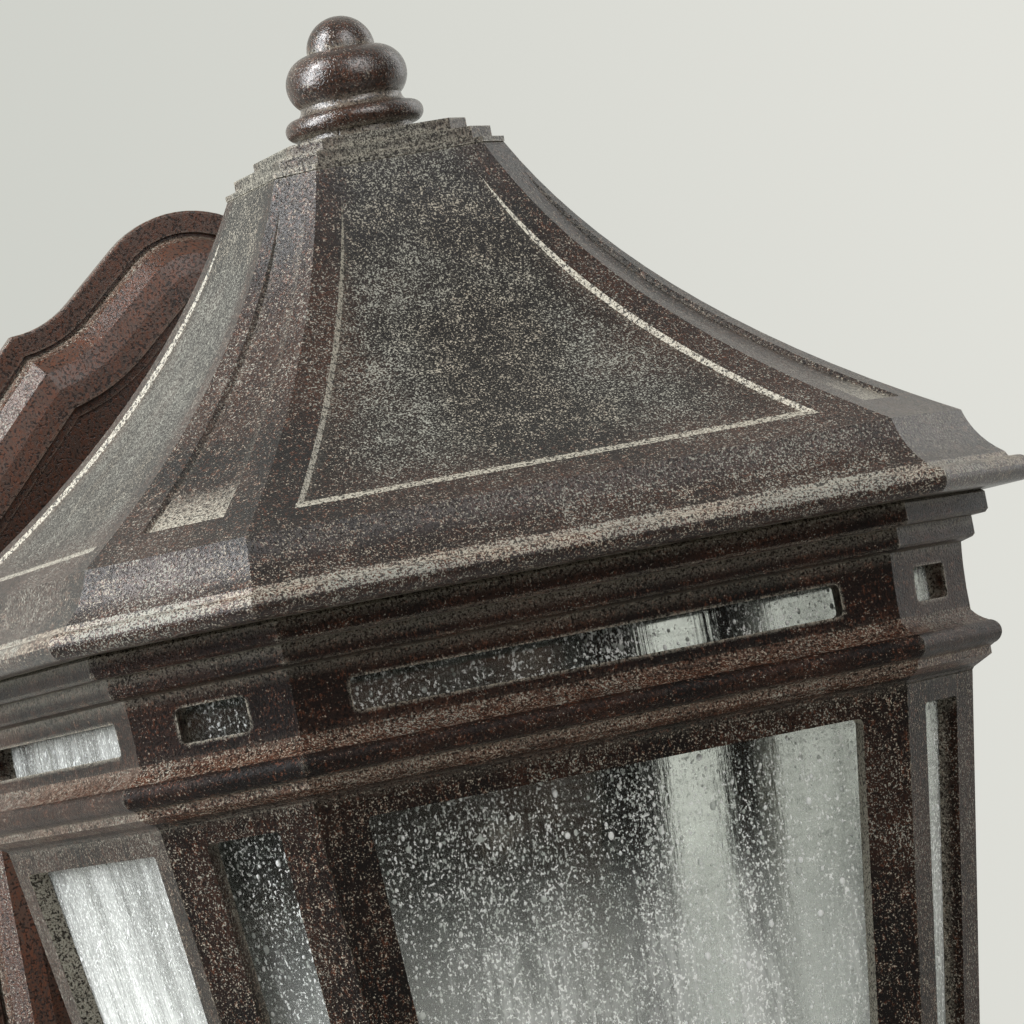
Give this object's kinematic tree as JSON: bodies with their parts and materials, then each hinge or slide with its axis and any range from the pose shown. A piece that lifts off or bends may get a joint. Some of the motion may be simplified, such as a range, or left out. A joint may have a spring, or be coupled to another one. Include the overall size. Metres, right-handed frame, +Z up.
{
  "type": "outdoor wall lantern",
  "caption": "Large outdoor wall lantern with a hollow-curved eight-sided roof, tapered seeded-glass body, slotted frieze, gooseneck arm and moulded back plate.",
  "frame": {"origin": "centre of the outlet box screw pattern, on the wall plane behind the back plate", "axes": "+Z up, +Y into the wall, -Y out of the wall toward the viewer, +X to the viewer's right"},
  "size_m": [0.25, 0.301, 0.52],
  "materials": {
    "bronze_paint": "weathered bronze paint on cast aluminium, mottled, satin",
    "seeded_glass": "clear seeded glass with bubbles and drawn streaks",
    "bulb_glass": "clear blown glass",
    "lamp_brass": "rolled, bright",
    "filament": "glass stem with wire",
    "candle_ivory": "ivory, satin",
    "holder_black": "black moulded, matt",
    "zinc_steel": "zinc plated"
  },
  "bodies": {
    "lantern": {"arm": "bronze_paint", "arm_flange": "bronze_paint", "arm_hub": "bronze_paint", "arm_screws": "zinc_steel", "back_left_post": "bronze_paint", "back_left_post_pane": "seeded_glass", "back_pane": "seeded_glass", "back_panel": "bronze_paint", "back_right_post": "bronze_paint", "back_right_post_pane": "seeded_glass", "backplate": "bronze_paint", "base_dish": "bronze_paint", "base_tray": "bronze_paint", "bridge_screws": "zinc_steel", "candle_sleeve_1": "candle_ivory", "candle_sleeve_2": "candle_ivory", "candle_sleeve_3": "candle_ivory", "cap_nuts": "bronze_paint", "corner_frieze_panes": "seeded_glass", "drop_knob": "bronze_paint", "frieze_frame": "bronze_paint", "frieze_panes": "seeded_glass", "front_left_post": "bronze_paint", "front_left_post_pane": "seeded_glass", "front_pane": "seeded_glass", "front_panel": "bronze_paint", "front_right_post": "bronze_paint", "front_right_post_pane": "seeded_glass", "ground_screw": "zinc_steel", "lamp_bracket": "zinc_steel", "lamp_screws": "zinc_steel", "lampholder_1": "holder_black", "lampholder_2": "holder_black", "lampholder_3": "holder_black", "left_pane": "seeded_glass", "left_panel": "bronze_paint", "mounting_strap": "zinc_steel", "nipple": "zinc_steel", "nipple_nuts": "zinc_steel", "plate_studs": "zinc_steel", "right_pane": "seeded_glass", "right_panel": "bronze_paint", "roof_bridge": "zinc_steel", "roof_stud": "zinc_steel", "stud_nuts": "zinc_steel"},
    "roof": {"roof": "bronze_paint"},
    "finial": {"finial": "bronze_paint"},
    "bulb_1": {"bulb_cap_1": "lamp_brass", "bulb_glass_1": "bulb_glass", "filament_1": "filament"},
    "bulb_2": {"bulb_cap_2": "lamp_brass", "bulb_glass_2": "bulb_glass", "filament_2": "filament"},
    "bulb_3": {"bulb_cap_3": "lamp_brass", "bulb_glass_3": "bulb_glass", "filament_3": "filament"}
  },
  "joints": [
    {"name": "roof_lift", "type": "slide", "parent": "lantern", "child": "roof", "axis": [0, 0, 1], "range_m": [0, 0.135]},
    {"name": "finial_turn", "type": "hinge", "parent": "roof", "child": "finial", "pos_m": [0, -0.176, 0.182], "axis": [0, 0, 1], "continuous": true},
    {"name": "bulb_turn_1", "type": "hinge", "parent": "lantern", "child": "bulb_1", "pos_m": [0, -0.143, -0.17], "axis": [0, 0, 1], "continuous": true},
    {"name": "bulb_turn_2", "type": "hinge", "parent": "lantern", "child": "bulb_2", "pos_m": [-0.02858, -0.1925, -0.17], "axis": [0, 0, 1], "continuous": true},
    {"name": "bulb_turn_3", "type": "hinge", "parent": "lantern", "child": "bulb_3", "pos_m": [0.02858, -0.1925, -0.17], "axis": [0, 0, 1], "continuous": true}
  ]
}
